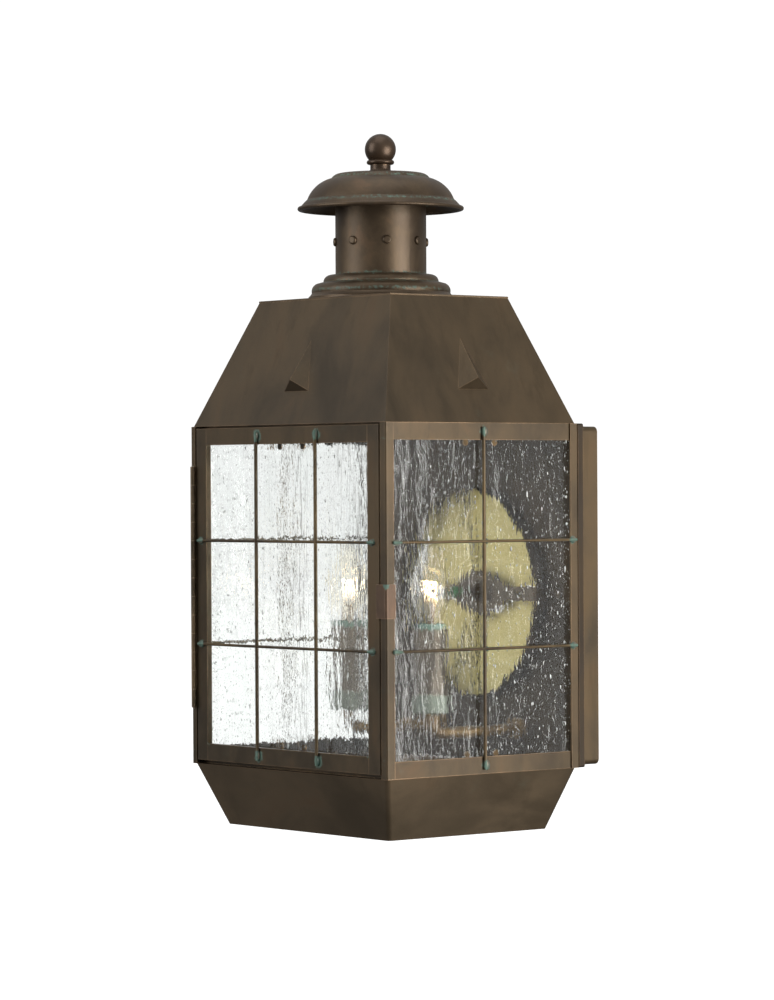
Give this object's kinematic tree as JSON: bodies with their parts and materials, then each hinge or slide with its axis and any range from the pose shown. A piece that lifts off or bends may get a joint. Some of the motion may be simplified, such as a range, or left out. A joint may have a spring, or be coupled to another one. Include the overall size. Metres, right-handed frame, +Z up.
{
  "type": "outdoor wall lantern",
  "caption": "Box-shaped wall lantern with glass panes, hinged glass door with a spring clip, vented hip roof, capped chimney with ball finial and candle lamps.",
  "frame": {"origin": "on the wall plane, behind the middle of the glass section and on the centre line of the back pan", "axes": "+Z up, +Y into the wall, so the door faces -Y; +X to the right of a person facing the door"},
  "size_m": [0.226, 0.1961, 0.4884],
  "materials": {
    "pan_brass": "aged bronze patina, satin",
    "fibre_pad": "cream glass fibre",
    "crossbar_steel": "plain steel",
    "ground_green": "green enamel",
    "lead_insulation": "matte",
    "cage_brass": "aged bronze patina, rubbed folds",
    "pane_glass": "clear seedy glass",
    "wire_brass": "aged bronze patina",
    "tab_brass": "dull",
    "roof_brass": "aged bronze patina, satin",
    "chimney_brass": "aged bronze patina with green in the hollows",
    "finial_brass": "aged bronze, reddish",
    "stud_steel": "plain",
    "base_brass": "aged bronze patina, satin",
    "door_brass": "aged bronze patina, satin",
    "hinge_brass": "aged bronze, worn",
    "clip_brass": "aged bronze, worn",
    "arm_brass": "aged bronze",
    "candle_bronze": "aged bronze candle cover, satin",
    "socket_black": "moulded black",
    "bulb_glass": "clear",
    "bulb_metal": "thin bright brass",
    "filament": "lit filament"
  },
  "bodies": {
    "lantern": {"arm_bosses": "arm_brass", "back_pan": "pan_brass", "back_panel": "pan_brass", "base_pan": "base_brass", "bulb_cap_left": "bulb_metal", "bulb_cap_right": "bulb_metal", "bulb_filaments": "filament", "bulb_glass_left": "bulb_glass", "bulb_glass_right": "bulb_glass", "candle_arm_left": "arm_brass", "candle_arm_right": "arm_brass", "candle_cup_left": "arm_brass", "candle_cup_right": "arm_brass", "candle_sleeve_left": "candle_bronze", "candle_sleeve_right": "candle_bronze", "cap_bracket": "chimney_brass", "cap_stud": "stud_steel", "chimney_base_ring": "chimney_brass", "chimney_cap": "chimney_brass", "chimney_rivets": "chimney_brass", "chimney_tube": "chimney_brass", "crossbar": "crossbar_steel", "crossbar_rivets": "crossbar_steel", "door_stops": "cage_brass", "finial": "finial_brass", "ground_screw": "ground_green", "hinge_leaf_body": "hinge_brass", "hinge_pin": "stud_steel", "insulation_pad": "fibre_pad", "lamp_socket_left": "socket_black", "lamp_socket_right": "socket_black", "lead_wires": "lead_insulation", "nipple_nut": "crossbar_steel", "opening_collar": "pan_brass", "post_front_left": "cage_brass", "post_front_right": "cage_brass", "post_rear_left": "cage_brass", "post_rear_right": "cage_brass", "roof_shell": "roof_brass", "roof_top_plate": "roof_brass", "side_glass_left": "pane_glass", "side_glass_right": "pane_glass", "side_glass_tabs": "tab_brass", "side_rail_left_bottom": "cage_brass", "side_rail_left_top": "cage_brass", "side_rail_right_bottom": "cage_brass", "side_rail_right_top": "cage_brass", "side_wires_left": "wire_brass", "side_wires_right": "wire_brass", "wiring_nipple": "crossbar_steel"},
    "door": {"door_stile_left": "door_brass", "door_stile_right": "door_brass", "door_rail_top": "door_brass", "door_rail_bottom": "door_brass", "door_glass": "pane_glass", "door_glass_tabs": "tab_brass", "door_wires_vertical": "wire_brass", "door_wires_horizontal": "wire_brass", "hinge_leaf_door": "hinge_brass"},
    "latch": {"latch_clip": "clip_brass"}
  },
  "joints": [
    {"name": "door_swing", "type": "hinge", "parent": "lantern", "child": "door", "pos_m": [-0.1054, -0.1945, 0], "axis": [0, 0, -1], "range_deg": [0, 110]},
    {"name": "latch_flex", "type": "hinge", "parent": "door", "child": "latch", "pos_m": [0.1015, -0.192, 0], "axis": [0, 0, -1], "range_deg": [0, 12], "stiffness_Nm_per_rad": 0.3}
  ]
}
